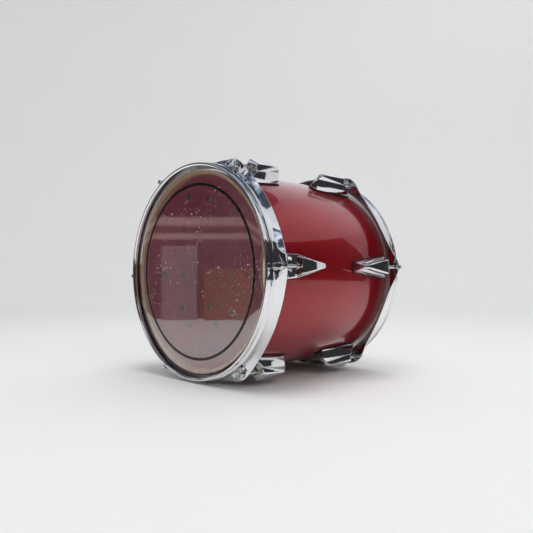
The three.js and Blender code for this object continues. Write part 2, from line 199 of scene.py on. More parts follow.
def hull(name, points, materials=()):
    """The convex hull of points in millimetres, with flat sides as single faces."""
    bm = bmesh.new()
    for p in points:
        bm.verts.new(Vector(p) * MM)
    made = bmesh.ops.convex_hull(bm, input=bm.verts)
    loose = [v for v in made["geom_interior"] if isinstance(v, bmesh.types.BMVert)]
    bmesh.ops.delete(bm, geom=loose, context="VERTS")
    bmesh.ops.dissolve_limit(bm, angle_limit=math.radians(1), verts=bm.verts, edges=bm.edges)
    mesh = bpy.data.meshes.new(name)
    bm.to_mesh(mesh)
    bm.free()
    for material in materials:
        mesh.materials.append(material)
    obj = bpy.data.objects.new(name, mesh)
    bpy.context.scene.collection.objects.link(obj)
    return obj


def rounded(outline, radii, steps=5):
    """A closed outline of [r, y] points with each corner turned into an arc of its radius."""
    n = len(outline)
    out = []
    for i in range(n):
        here = np.array(outline[i], float)
        before = np.array(outline[i - 1], float) - here
        after = np.array(outline[(i + 1) % n], float) - here
        radius = radii[i] if np.ndim(radii) else radii
        la, lb = np.linalg.norm(before), np.linalg.norm(after)
        before, after = before / la, after / lb
        turn = math.acos(np.clip(-before @ after, -1, 1))
        reach = min(radius * math.tan(turn / 2), 0.48 * la, 0.48 * lb)
        start, end = here + before * reach, here + after * reach
        for k in range(steps + 1):
            t = k / steps
            out.append((1 - t) ** 2 * start + 2 * t * (1 - t) * here + t * t * end)
    return out


def ring(name, profile, materials=(), slots_of=None, sides=SIDES, sharp=32):
    """A ring about Y, from a closed outline of [radius, y] or a function of the angle in degrees."""
    vertices = []
    for i in range(sides):
        angle = 2 * math.pi * i / sides
        c, s = math.cos(angle), math.sin(angle)
        outline = profile(360 * i / sides) if callable(profile) else profile
        vertices += [(r * c, y, r * s) for r, y in outline]
    n = len(vertices) // sides
    faces, slots = [], []
    for i in range(sides):
        a, b = i * n, (i + 1) % sides * n
        for j in range(n):
            k = (j + 1) % n
            faces.append((a + j, a + k, b + k, b + j))
            slots.append(slots_of[j] if slots_of else 0)
    return new_object(name, vertices, faces, slots, materials, sharp)


def turned(name, outline, materials=(), slots_of=None, sides=32, sharp=32):
    """A solid of revolution about Y. The outline of [radius, y] starts and ends on the axis."""
    inner = outline[1:-1]
    n = len(inner)
    vertices = [(0, outline[0][1], 0), (0, outline[-1][1], 0)]
    for i in range(sides):
        angle = 2 * math.pi * i / sides
        vertices += [(r * math.cos(angle), y, r * math.sin(angle)) for r, y in inner]
    slots_of = slots_of or [0] * (n + 1)
    faces, slots = [], []
    for i in range(sides):
        a, b = 2 + i * n, 2 + (i + 1) % sides * n
        faces.append((0, a, b))
        slots.append(slots_of[0])
        for j in range(n - 1):
            faces.append((a + j, a + j + 1, b + j + 1, b + j))
            slots.append(slots_of[j + 1])
        faces.append((1, b + n - 1, a + n - 1))
        slots.append(slots_of[n])
    return new_object(name, vertices, faces, slots, materials, sharp)


def drill(y0, y1, radius, sides=32):
    """A round bar along Y, to cut a hole with."""
    return turned("drill", [(0, y0), (radius, y0), (radius, y1), (0, y1)], sides=sides)


# ---------------------------------------------------------------- places on the drum

def end_frame(end):
    """Local y runs up from that end's lip plane towards mid shell."""
    if end == "batter":
        return ON_AXIS @ Matrix.Translation((0, -HALF, 0))
    return ON_AXIS @ Matrix.Translation((0, HALF, 0)) @ Matrix.Rotation(math.pi, 4, "X")


def spoke(angle, y=0.0, radius=0.0, end=None):
    """Local x points out at an angle in degrees round the drum, at a radius and y in millimetres."""
    turn = ON_AXIS @ Matrix.Rotation(-math.radians(angle), 4, "Y")
    if end == "batter":
        return turn @ Matrix.Translation((radius * MM, -HALF + y * MM, 0))
    if end == "resonant":
        flip = Matrix.Rotation(math.pi, 4, "X")
        return turn @ Matrix.Translation((radius * MM, HALF - y * MM, 0)) @ flip
    return turn @ Matrix.Translation((radius * MM, y * MM, 0))


def standing(angle, y=0.0, end=None):
    """Local z stands out of the shell's surface, local y runs along the axis."""
    return spoke(angle, y, SHELL_R, end) @ Matrix.Rotation(math.pi / 2, 4, "Y")


def place(obj, matrix, body, *nodes, slot=None):
    """Puts a piece in place on a body, instead of its CAD nodes. The slot argument is not used."""
    obj.matrix_world = matrix
    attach(obj, body)
    if nodes:
        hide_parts(*nodes)
    return obj


def place_ring(obj, matrix, body, *nodes, slot=None):
    """Places a ring with the roll in its mesh, so that its own axes are level with the frame's."""
    level = ON_AXIS @ Matrix.Rotation(ROLL, 4, "Y") @ ON_AXIS.inverted() @ matrix
    obj.data.transform(level.inverted() @ matrix)
    return place(obj, level, body, *nodes, slot=slot)


# ---------------------------------------------------------------- materials

class Nodes:
    """A material's node tree, written one call per node."""

    def __init__(self, name):
        self.material = bpy.data.materials.new(name)
        self.material.use_nodes = True
        self.tree = self.material.node_tree
        self.tree.nodes.clear()

    def add(self, kind, inputs=None, **settings):
        node = self.tree.nodes.new(kind)
        for key, value in settings.items():
            setattr(node, key, value)
        for key, value in (inputs or {}).items():
            socket = node.inputs[key]
            if isinstance(value, bpy.types.NodeSocket):
                self.tree.links.new(value, socket)
            else:
                socket.default_value = value
        return node

    def position(self):
        """Place in the object, in metres."""
        return self.add("ShaderNodeTexCoord").outputs["Object"]

    def coords(self, scale=(1, 1, 1)):
        """Place in the object, scaled, and shifted so that no two objects share a pattern."""
        source = self.position()
        info = self.add("ShaderNodeObjectInfo").outputs["Random"]
        shift = self.math("MULTIPLY", info, 37.0)
        mapping = self.add("ShaderNodeMapping", {"Vector": source, "Scale": scale})
        moved = self.add("ShaderNodeVectorMath", {0: mapping.outputs[0], 1: shift})
        return moved.outputs[0]

    def noise(self, vector, scale, detail=4.0, roughness=0.55, distortion=0.0):
        settings = {"Vector": vector, "Scale": scale, "Detail": detail, "Roughness": roughness}
        settings["Distortion"] = distortion
        return self.add("ShaderNodeTexNoise", settings).outputs["Fac"]

    def math(self, operation, a, b=0.0, clamp=False):
        node = self.add("ShaderNodeMath", {0: a, 1: b}, operation=operation, use_clamp=clamp)
        return node.outputs[0]

    def remap(self, value, low, high, to_low=0.0, to_high=1.0):
        settings = {"Value": value, "From Min": low, "From Max": high}
        settings.update({"To Min": to_low, "To Max": to_high})
        return self.add("ShaderNodeMapRange", settings).outputs[0]

    def ramp(self, value, stops):
        node = self.add("ShaderNodeValToRGB", {"Fac": value})
        elements = node.color_ramp.elements
        while len(elements) < len(stops):
            elements.new(0.5)
        for element, (position, colour) in zip(elements, stops):
            element.position = position
            element.color = (*colour, 1)
        return node.outputs["Color"]

    def mix(self, factor, a, b):
        node = self.add("ShaderNodeMix", {0: factor, 6: a, 7: b}, data_type="RGBA")
        return node.outputs[2]

    def bump(self, height, distance, strength=1.0, normal=None):
        settings = {"Height": height, "Distance": distance, "Strength": strength}
        if normal is not None:
            settings["Normal"] = normal
        return self.add("ShaderNodeBump", settings).outputs[0]

    def finish(self, shader):
        output = self.add("ShaderNodeOutputMaterial")
        self.tree.links.new(shader, output.inputs["Surface"])
        return self.material

    def principled(self, **inputs):
        """Ends the material with a Principled shader. Its inputs are in lower case with underscores."""
        named = {}
        for key, value in inputs.items():
            named[key.replace("_", " ").title().replace("Ior", "IOR")] = value
        return self.finish(self.add("ShaderNodeBsdfPrincipled", named).outputs[0])


def scratches(n, vector, scale, amount=0.02):
    """1 on a few fine hairlines, else 0."""
    warped = n.add("ShaderNodeTexNoise", {"Vector": vector, "Scale": scale * 0.15, "Detail": 2.0})
    offset = n.add("ShaderNodeVectorMath", {0: vector, 1: warped.outputs["Color"]})
    cells = n.add(
        "ShaderNodeTexVoronoi",
        {"Vector": offset.outputs[0], "Scale": scale, "Randomness": 1.0},
        feature="DISTANCE_TO_EDGE",
    )
    line = n.remap(cells.outputs["Distance"], 0.0, amount, 1.0, 0.0)
    patch = n.noise(vector, scale * 0.4, 2.0)
    return n.math("MULTIPLY", line, n.remap(patch, 0.5, 0.66))


def plated(name, colour, roughness, pitting=0.0, wave=0.0):
    """Bright plating: faint wipe marks and hairlines, with a little pitting or casting ripple."""
    n = Nodes(name)
    at = n.coords()
    wipe = n.noise(n.coords((1, 5, 1)), 24.0, 6.0)
    lines = scratches(n, at, 90.0)
    smudge = n.noise(at, 9.0, 3.0, 0.6)
    rough = n.remap(wipe, 0.3, 0.75, roughness * 0.7, roughness * 1.8)
    rough = n.math("ADD", rough, n.math("MULTIPLY", lines, 0.12))
    rough = n.math("ADD", rough, n.remap(smudge, 0.55, 0.8, 0.0, 0.06))
    tone = n.mix(n.remap(smudge, 0.35, 0.75), (*colour, 1), (*[c * 0.93 for c in colour], 1))
    pits = n.remap(n.noise(at, 1400.0, 2.0), 0.68, 0.74, 0.0, pitting)
    tone = n.mix(pits, tone, (0.25, 0.23, 0.2, 1))
    normal = n.bump(n.noise(at, 60.0, 2.0), 0.0006 * wave, 1.0) if wave else None
    normal = n.bump(n.math("SUBTRACT", wipe, lines), 0.000004, 0.5, normal)
    return n.principled(base_color=tone, metallic=1.0, roughness=rough, normal=normal)


def lacquer():
    """Deep red see-through lacquer over fine wood grain, buffed to a high gloss."""
    n = Nodes("shell_lacquer")
    grain_at = n.coords((9.0, 90.0, 9.0))
    grain = n.noise(grain_at, 1.0, 6.0, 0.6, 0.4)
    fine = n.noise(n.coords((40.0, 520.0, 40.0)), 1.0, 3.0)
    cloud = n.noise(n.coords(), 7.0, 3.0)
    red = n.ramp(grain, [
        (0.3, (0.28, 0.0034, 0.009)),
        (0.52, (0.315, 0.004, 0.0105)),
        (0.75, (0.345, 0.005, 0.013)),
    ])
    red = n.mix(n.remap(fine, 0.45, 0.7, 0.0, 0.2), red, (0.2, 0.0025, 0.007, 1))
    red = n.mix(n.remap(cloud, 0.35, 0.7, 0.0, 0.25), red, (0.36, 0.008, 0.016, 1))
    peel = n.noise(n.coords(), 260.0, 2.0)
    swirls = scratches(n, n.coords(), 46.0, 0.012)
    dust = n.remap(n.noise(n.coords(), 900.0, 2.0), 0.7, 0.76)
    red = n.mix(n.math("MULTIPLY", dust, 0.3), red, (0.4, 0.28, 0.28, 1))
    coat = n.math("ADD", n.remap(cloud, 0.3, 0.7, 0.02, 0.05), n.math("MULTIPLY", swirls, 0.12))
    normal = n.bump(peel, 0.00004, 0.35)
    return n.principled(
        base_color=red,
        metallic=0.55,
        roughness=n.remap(fine, 0.3, 0.7, 0.3, 0.38),
        specular_ior_level=0.15,
        coat_weight=1.0,
        coat_roughness=coat,
        coat_ior=1.47,
        coat_normal=normal,
        normal=n.bump(grain, 0.00006, 0.25),
    )


def stained_wood():
    """Inside of the shell: burgundy-stained veneer, satin, with its grain running round the drum."""
    n = Nodes("shell_inside")
    grain = n.noise(n.coords((14.0, 260.0, 14.0)), 1.0, 6.0, 0.6, 0.6)
    pores = n.noise(n.coords((60.0, 1500.0, 60.0)), 1.0, 2.0)
    stain = n.noise(n.coords(), 11.0, 4.0)
    tone = n.ramp(grain, [
        (0.3, (0.38, 0.055, 0.1)),
        (0.55, (0.5, 0.085, 0.14)),
        (0.8, (0.58, 0.12, 0.18)),
    ])
    tone = n.mix(n.remap(pores, 0.55, 0.7, 0.0, 0.6), tone, (0.2, 0.03, 0.05, 1))
    tone = n.mix(n.remap(stain, 0.4, 0.75, 0.0, 0.3), tone, (0.6, 0.15, 0.19, 1))
    rough = n.remap(grain, 0.3, 0.8, 0.38, 0.55)
    return n.principled(base_color=tone, roughness=rough, normal=n.bump(grain, 0.0001, 0.5))


def bare_edge():
    """Cut bearing edge: pale bare plies with thin darker glue lines."""
    n = Nodes("bearing_edge")
    ply_mm = 1.03
    x, _, z = n.add("ShaderNodeSeparateXYZ", {0: n.position()}).outputs
    radius = n.math("SQRT", n.math("ADD", n.math("MULTIPLY", x, x), n.math("MULTIPLY", z, z)))
    ply = n.math("FRACT", n.math("MULTIPLY", radius, 1000.0 / ply_mm))
    glue = n.remap(n.math("ABSOLUTE", n.math("SUBTRACT", ply, 0.5)), 0.4, 0.47)
    end_grain = n.noise(n.coords((900.0, 900.0, 900.0)), 1.0, 3.0)
    blotch = n.noise(n.coords(), 40.0, 3.0)
    tone = n.ramp(end_grain, [(0.3, (0.68, 0.43, 0.25)), (0.7, (0.86, 0.6, 0.38))])
    tone = n.mix(n.math("MULTIPLY", glue, 0.55), tone, (0.2, 0.1, 0.055, 1))
    tone = n.mix(n.remap(blotch, 0.5, 0.8, 0.0, 0.5), tone, (0.36, 0.2, 0.12, 1))
    return n.principled(base_color=tone, roughness=0.6, normal=n.bump(end_grain, 0.00008, 0.5))


def clear_film():
    """Clear head film, a little hazed and specked by use, that mirrors more at a slant."""
    n = Nodes("head_film_clear")
    at = n.coords()
    cloud = n.noise(at, 14.0, 4.0)
    specks = n.remap(n.noise(at, 260.0, 2.0, 0.5), 0.62, 0.68)
    few = n.remap(n.noise(at, 18.0, 2.0), 0.42, 0.62, 0.1, 1.0)
    marks = n.math("MULTIPLY", specks, few)
    scuff = scratches(n, at, 60.0, 0.02)
    dirt = n.math("ADD", n.math("MULTIPLY", marks, 0.5), n.math("MULTIPLY", scuff, 0.08))
    haze = n.math("ADD", n.remap(cloud, 0.3, 0.75, 0.004, 0.016), dirt, clamp=True)
    see = n.add("ShaderNodeBsdfTransparent", {"Color": (0.99, 0.985, 0.985, 1)})
    dull = n.add("ShaderNodeBsdfDiffuse", {"Color": (0.72, 0.72, 0.72, 1), "Roughness": 0.6})
    body = n.add("ShaderNodeMixShader", {0: haze, 1: see.outputs[0], 2: dull.outputs[0]})
    rough = n.math("ADD", n.remap(cloud, 0.3, 0.75, 0.015, 0.04), n.math("MULTIPLY", dirt, 0.5))
    normal = n.bump(n.noise(at, 16.0, 1.0), 0.0002, 0.25)
    gloss = n.add("ShaderNodeBsdfGlossy", {"Roughness": rough, "Normal": normal})
    slant = n.add("ShaderNodeLayerWeight", {"Blend": 0.5, "Normal": normal}).outputs["Facing"]
    head_on = 0.185                      # share mirrored straight on, growing to nearly all at a slant
    grazing = n.math("MULTIPLY", n.math("POWER", slant, 5.0), 0.81)
    mirror = n.math("ADD", grazing, head_on, clamp=True)
    both = n.add("ShaderNodeMixShader", {0: mirror, 1: body.outputs[0], 2: gloss.outputs[0]})
    return n.finish(both.outputs[0])


def ring_ink():
    """Black ring printed under the film: solid ink behind the film's gloss, worn grey in places."""
    n = Nodes("head_ring_ink")
    wear = n.noise(n.coords(), 260.0, 4.0)
    tone = n.mix(n.remap(wear, 0.62, 0.8, 0.0, 0.5), (0.008, 0.008, 0.009, 1), (0.09, 0.085, 0.085, 1))
    rough = n.remap(wear, 0.3, 0.8, 0.2, 0.4)
    return n.principled(base_color=tone, roughness=rough, specular_ior_level=0.3)


def rubber():
    """Black gasket rubber with a fine grain and a bloom of dust."""
    n = Nodes("gasket_rubber")
    grain = n.noise(n.coords(), 1600.0, 3.0)
    dust = n.noise(n.coords(), 120.0, 4.0)
    tone = n.mix(n.remap(dust, 0.5, 0.8, 0.0, 0.6), (0.012, 0.012, 0.013, 1), (0.05, 0.048, 0.046, 1))
    rough = n.remap(dust, 0.3, 0.7, 0.55, 0.75)
    return n.principled(base_color=tone, roughness=rough, normal=n.bump(grain, 0.00008, 0.6))


def zinc():
    """Screws and washers inside the shell: dull zinc with a green-grey cast and a little tarnish."""
    n = Nodes("fixing_zinc")
    spots = n.noise(n.coords(), 500.0, 4.0)
    tone = n.ramp(spots, [
        (0.3, (0.12, 0.14, 0.13)),
        (0.6, (0.22, 0.245, 0.23)),
        (0.8, (0.32, 0.34, 0.32)),
    ])
    rough = n.remap(spots, 0.3, 0.7, 0.32, 0.55)
    normal = n.bump(spots, 0.00005, 0.4)
    return n.principled(base_color=tone, metallic=0.85, roughness=rough, normal=normal)


def mill_aluminium():
    """Unpolished aluminium with its rolling lines running round the drum."""
    n = Nodes("flesh_hoop_aluminium")
    lines = n.noise(n.coords((6.0, 900.0, 6.0)), 1.0, 4.0)
    tone = n.mix(lines, (0.42, 0.43, 0.44, 1), (0.62, 0.63, 0.64, 1))
    rough = n.remap(lines, 0.3, 0.7, 0.3, 0.45)
    normal = n.bump(lines, 0.00003, 0.5)
    return n.principled(base_color=tone, metallic=1.0, roughness=rough, normal=normal)


def paper():
    """Floor and sweep: plain pale studio paper with hardly any tooth."""
    n = Nodes("studio_paper")
    tooth = n.noise(n.position(), 220.0, 3.0)
    tone = n.mix(tooth, (0.87, 0.87, 0.87, 1), (0.89, 0.888, 0.885, 1))
    return n.principled(base_color=tone, roughness=0.75, specular_ior_level=0.25)


def card(name, colour, glow=0.0):
    """Matt mottled card for a studio surface, glowing if asked to."""
    n = Nodes(name)
    patch = n.noise(n.position(), 1.6, 3.0)
    tone = n.mix(patch, (*[c * 0.6 for c in colour], 1), (*[c * 1.3 for c in colour], 1))
    return n.principled(base_color=tone, roughness=0.9, emission_color=tone, emission_strength=glow)


def room_wall():
    """A dim room with two pale shelves along the head's side, by height in metres. Painted light: the
    wall glows with its own colour and fades to near black towards negative x.
    """
    n = Nodes("room_wall")
    at = n.position()
    x, _, height = n.add("ShaderNodeSeparateXYZ", {0: at}).outputs
    dark, shelf = (0.012, 0.008, 0.012), (0.42, 0.3, 0.28)
    tone = n.ramp(height, [
        (0.0, (0.07, 0.04, 0.06)),
        (0.28, (0.05, 0.03, 0.045)),
        (0.292, shelf),
        (0.302, shelf),
        (0.312, (0.04, 0.025, 0.035)),
        (0.33, (0.12, 0.08, 0.085)),
        (0.34, shelf),
        (0.36, shelf),
        (0.37, dark),
        (1.0, dark),
    ])
    tone = n.mix(n.remap(n.noise(at, 3.0, 3.0), 0.35, 0.7, 0.0, 0.5), tone, (*dark, 1))
    left = n.remap(x, -0.2, 0.1, 1.0, 0.0)
    tone = n.mix(left, (0.016, 0.016, 0.018, 1), tone)
    # painted light: the wall glows with its own colour at half strength instead of being lit
    return n.principled(base_color=tone, roughness=0.9, emission_color=tone, emission_strength=0.5)


def room_ceiling():
    """Dim ceiling with broad soft patches of light."""
    n = Nodes("room_ceiling")
    patch = n.remap(n.noise(n.position(), 0.9, 2.0), 0.5, 0.68)
    tone = n.mix(patch, (0.035, 0.045, 0.065, 1), (0.66, 0.74, 0.86, 1))
    return n.principled(base_color=tone, roughness=0.9, emission_color=tone, emission_strength=0.7)


CHROME = plated("hoop_chrome", (0.86, 0.87, 0.885), 0.05, 0.5, 0.12)
LUG_CHROME = plated("lug_chrome", (0.84, 0.85, 0.865), 0.06, 0.3, 0.3)
ROD_PLATE = plated("rod_plating", (0.74, 0.74, 0.73), 0.13, 0.8)
NUT_PLATE = plated("nut_plating", (0.6, 0.55, 0.42), 0.2, 0.5)
BRACKET_ALLOY = plated("bracket_alloy", (0.78, 0.79, 0.8), 0.12, 0.4, 0.4)
LACQUER = lacquer()
INSIDE = stained_wood()
EDGE = bare_edge()
FILM = clear_film()
INK = ring_ink()
RUBBER = rubber()
ZINC = zinc()
ALUMINIUM = mill_aluminium()


# ---------------------------------------------------------------- shell

def make_shell():
    """Wall with two bearing edges, lacquered outside, stained inside, and bored for the vent."""
    half = HALF / MM - EDGE_UP
    inner = SHELL_R - SHELL_T
    stain_end = half - EDGE_BEVEL - BARE_BAND
    edge = [
        (inner, half - EDGE_BEVEL),
        (EDGE_PEAK_R - 0.35, half - 0.3),
        (EDGE_PEAK_R, half),
        (EDGE_PEAK_R + 0.6, half - 0.12),
        (SHELL_R - 0.8, half - 0.55),
        (SHELL_R - 0.25, half - 1.0),
        (SHELL_R, half - 1.9),
    ]
    other_edge = [(r, -y) for r, y in reversed(edge)]
    inside = [(inner, -stain_end), (inner, 0), (inner, stain_end)]
    profile = edge + [(SHELL_R, 0)] + other_edge + inside
    lacquered, bare, stained = 0, 1, 2
    slots = [bare] * 6 + [lacquered] * 3 + [bare] * 6 + [stained] * 2 + [bare]
    shell = ring("drum_shell", profile, (LACQUER, EDGE, INSIDE), slots)
    shell.matrix_world = ON_AXIS
    bore = drill(-20, 20, VENT_BORE_R)
    bore.matrix_world = spoke(BRACKET_ANGLE, VENT_Y, SHELL_R) @ Matrix.Rotation(math.pi / 2, 4, "Z")
    cut(shell, bore)
    shade(shell.data)
    return place_ring(shell, ON_AXIS, "drum_body", "shell", slot="shell")


# ---------------------------------------------------------------- heads

def make_film(end):
    """Flat film with a collar and a skirt, and the printed ring as faces of their own."""
    outer = SHELL_R + FILM_CLEARANCE + FILM_T
    bend = [(math.sin(a), 1 - math.cos(a)) for a in np.linspace(0, math.pi / 2, 7)]
    flat = (0, 60, RING_R - RING_WIDTH / 2, RING_R + RING_WIDTH / 2)
    top = [(r, FILM_UP) for r in flat]
    top += [(outer - FILM_BEND + FILM_BEND * s, FILM_UP + FILM_BEND * c) for s, c in bend]
    under = [(r - (FILM_T if r > outer - 2.5 else 0), y + FILM_T * (r < outer - 1.2)) for r, y in top]
    profile = top + [(outer, FILM_SKIRT_END)] + [(outer - FILM_T, FILM_SKIRT_END)] + under[::-1]
    slots = [0] * (len(profile) - 1)
    slots[2] = 1                         # the ring, on both faces of the film
    slots[-3] = 1
    film = turned(f"head_{end}_film", profile, (FILM, INK), slots, sides=SIDES, sharp=40)
    return place_ring(film, end_frame(end), "drum_body", f"{end}_head_film", slot="head_film")


def make_flesh_hoop(end):
    """Pressed channel that grips the film's edge."""
    outline = [
        (FLESH_IN_R, FLESH_TOP),
        (FLESH_OUT_R, FLESH_TOP),
        (FLESH_OUT_R, FLESH_BOTTOM),
        (FLESH_OUT_R - 1.4, FLESH_BOTTOM),
        (FLESH_OUT_R - 1.8, FLESH_BOTTOM - 2.0),
        (FLESH_IN_R + 1.8, FLESH_BOTTOM - 2.0),
        (FLESH_IN_R + 1.4, FLESH_BOTTOM),
        (FLESH_IN_R, FLESH_BOTTOM),
    ]
    profile = rounded(outline, [1.2, 1.2, 0.4, 0.4, 0.6, 0.6, 0.4, 0.4], 4)
    hoop = ring(f"head_{end}_flesh_hoop", profile, (ALUMINIUM,))
    return place_ring(hoop, end_frame(end), f"{end}_hoop", f"{end}_flesh_hoop", slot="flesh_hoop")


# ---------------------------------------------------------------- counterhoops

FLOOR_EDGE_R = AXIS_Z / MM               # the free edge just meets the floor
EDGE_STEP = 5                            # degrees from one point of HOOP_EDGE to the next
HOOP_EDGE = (                            # free edge [radius, up], from an ear's centre to midway
    (179.0, 20.2),
    (176.0, 22.6),
    (171.6, 26.5),
    (168.6, 28.9),
    (167.0, 29.9),
    (FLOOR_EDGE_R, 30.6),
    (FLOOR_EDGE_R, 30.8),
)


def hoop_edge(angle):
    """The skirt's free edge at an angle round the drum, as a smooth curve through HOOP_EDGE."""
    spacing = 360 / LUGS
    off = abs((angle + spacing / 2) % spacing - spacing / 2) / EDGE_STEP
    i = min(int(off), len(HOOP_EDGE) - 2)
    t = off - i
    last = len(HOOP_EDGE) - 1
    a, b, c, d = (np.array(HOOP_EDGE[last - abs(last - abs(k))]) for k in (i - 1, i, i + 1, i + 2))
    slope, square, cube = c - a, 2 * a - 5 * b + 4 * c - d, 3 * b - a - 3 * c + d
    return 0.5 * (2 * b + slope * t + square * t**2 + cube * t**3)


def inward(start, end):
    """Unit vector from a line towards its left, which is the inside of the section."""
    along = np.array(end) - np.array(start)
    along = along / np.linalg.norm(along)
    return np.array((-along[1], along[0]))


def hoop_profile(angle):
    """Rolled section at an angle round the drum: lip, flange, step, and the skirt's free edge."""
    step, knee, edge = (162.4, 14.6), (163.2, EAR_SEAT), hoop_edge(angle)
    above, below = inward(step, knee), inward(knee, edge)
    mitre = (above + below) * HOOP_T / (1 + above @ below)
    outline = [
        (159.5, 0.0),
        (162.0, 0.0),
        (162.0, 2.6),
        (159.4, 3.6),
        (159.4, 9.2),
        (162.9, 10.6),
        (162.9, 12.9),
        step,
        knee,
        tuple(edge),
        tuple(edge + HOOP_T * below),
        tuple(np.array(knee) + mitre),
        (160.7, 14.0),
        (160.7, 12.2),
        (157.6, 10.8),
        (157.6, 1.6),
    ]
    radii = [0.9, 1.25, 1.2, 1.4, 1.8, 1.1, 0.9, 1.6, 3.0, 0.85, 0.85, 2.0, 1.5, 1.0, 1.2, 1.4]
    return rounded(outline, radii, 5)


def make_counterhoop(end):
    """Hoop with six ears, each with a hole for its rod."""
    hoop = ring(f"hoop_{end}", hoop_profile, (CHROME,), sides=360, sharp=50)
    for i in range(LUGS):
        angle = math.radians(360 * i / LUGS)
        hole = drill(EAR_SEAT - 4, EAR_SEAT + 7, EAR_HOLE_R, 24)
        hole.location = Vector((ROD_R * math.cos(angle), 0, ROD_R * math.sin(angle))) * MM
        cut(hoop, hole)
    shade(hoop.data, 50)
    return place_ring(hoop, end_frame(end), f"{end}_hoop", f"{end}_counterhoop", slot="hoop_chrome")


# ---------------------------------------------------------------- lugs

def mirrored(points):
    """The points and their mirror images across x = 0."""
    return [(s * x, y, z) for s in (-1, 1) for x, y, z in points]


def shell_core(radius):
    """A round bar on the drum's axis, seen from a piece that stands on the shell."""
    core = turned("core", [(0, -160), (radius, -160), (radius, 160), (0, 160)], sides=360)
    core.location = (0, 0, -SHELL_R * MM)
    return core


def lug_casting():
    """Tapered casting. Local y = 0 is its open mouth, z = 0 the shell's surface."""
    base = hull("lug", mirrored([
        (18, 0, -1),
        (18, 0, 3.6),
        (7.6, 69, -1),
        (7.6, 69, 3.6),
        (16, 12.5, 18.4),
        (2.8, 68.6, 18.4),
    ]), (LUG_CHROME,))
    upper = hull("upper", mirrored([
        (14.2, 13.1, 16.4),
        (11, 14.2, 28.4),
        (2.7, 67.6, 16.4),
        (2.7, 67.6, 20.4),
        (2.9, 64.4, 24.8),
        (3.2, 61.0, 26.8),
    ]), (LUG_CHROME,))
    bevel(base, 0.9, 3)
    bevel(upper, 2.6, 4, 30)
    cut(base, upper, "UNION")
    pocket = hull("pocket", mirrored([
        (15.0, -6, 4.8),
        (14.0, 8, 4.8),
        (12.4, -6, 12.9),
        (11.2, 17.5, 12.9),
    ]))
    cut(base, bevel(pocket, 0.8, 2))
    seat = drill(-8, 31.4, LUG_SEAT_R)
    seat.location = (0, 0, (ROD_R - SHELL_R) * MM)
    cut(base, seat)
    core = shell_core(CAST_SEAT_R)
    core.location.y = 40 * MM
    cut(base, core)
    shade(base.data, 35)
    return take_mesh(base)


def fixing_screw():
    """Pan-head cross screw with a washer. Local y runs into the drum, y = 0 at the inner wall."""
    washer_outline = rounded([(2.6, 0.1), (6.0, 0.1), (6.0, 1.3), (2.6, 1.3)], 0.25, 2)
    washer = ring("washer", washer_outline, (ZINC,), sides=32)
    dome = [(5.0 * math.cos(a), 1.9 + 1.6 * math.sin(a)) for a in np.linspace(0.2, 1.4, 6)]
    head = turned("head", [(0, 1.2), (5.0, 1.2), (5.0, 1.9)] + dome + [(0, 3.5)], (ZINC,))
    for k in (20, 110):
        recess = hull("recess", [(x, y, z) for x in (-2.6, 2.6) for y in (2.6, 5) for z in (-0.5, 0.5)])
        recess.rotation_euler = (0, math.radians(k), 0)
        cut(head, recess)
    shaft = drill(-9.4, 1.3, SCREW_SHAFT_R, 20)
    shaft.data.materials.append(ZINC)
    return take_mesh(join([washer, head, shaft], "screw"))


def linked(name, mesh):
    """One more object that shows a shared mesh."""
    obj = bpy.data.objects.new(name, mesh)
    bpy.context.scene.collection.objects.link(obj)
    return obj


def make_screws():
    """Two screws to each lug and four to the bracket, seen inside the shell."""
    mesh = fixing_screw()
    spots = []
    for end in ENDS:
        for i in range(LUGS):
            spots += [(f"{end}_{i + 1}_{k}", 360 * i / LUGS, up, end) for k, up in enumerate(SCREW_UPS)]
    spots += [(f"bracket_{k}", angle, y, None) for k, (angle, y) in enumerate(BRACKET_SCREWS)]
    for name, angle, y, end in spots:
        where = spoke(angle, y, SHELL_R - SHELL_T, end) @ Matrix.Rotation(math.pi / 2, 4, "Z")
        place(linked(f"screw_{name}", mesh), where, "drum_body", slot="rod_steel")


def make_lugs():
    """Twelve castings that share one mesh."""
    casting = lug_casting()
    for end in ENDS:
        for i in range(LUGS):
            lug = linked(f"lug_casting_{end}_{i + 1}", casting)
            where = standing(360 * i / LUGS, LUG_MOUTH, end)
            place(lug, where, "drum_body", f"lug_{end}_{i + 1}", slot="lug_chrome")


# ---------------------------------------------------------------- tension rods and nuts

THREAD_PITCH = 25.4 / 24
THREAD_START, THREAD_END = 27.0, 66.0


def thread(name):
    """Right-hand thread as one swept surface, closed at both ends."""
    sides, per_pitch = 20, 6
    rows = int((THREAD_END - THREAD_START) / THREAD_PITCH * per_pitch)
    vertices = []
    for i in range(rows + 1):
        y = THREAD_START + (THREAD_END - THREAD_START) * i / rows
        fade = min(1, (y - THREAD_START) / 1.2, (THREAD_END - y) / 1.2)
        for k in range(sides):
            phase = (y / THREAD_PITCH + k / sides) % 1
            r = ROD_SHAFT_R - 0.5 * fade * abs(2 * phase - 1) - 0.35 * (1 - fade) * (i == rows)
            a = 2 * math.pi * k / sides
            vertices.append((r * math.cos(a), y, r * math.sin(a)))
    faces = []
    for i in range(rows):
        for k in range(sides):
            j = (k + 1) % sides
            faces.append((i * sides + k, i * sides + j, (i + 1) * sides + j, (i + 1) * sides + k))
    faces.append(tuple(range(sides)))
    faces.append(tuple(rows * sides + k for k in range(sides)))
    return new_object(name, vertices, faces, None, (ROD_PLATE,), 60)


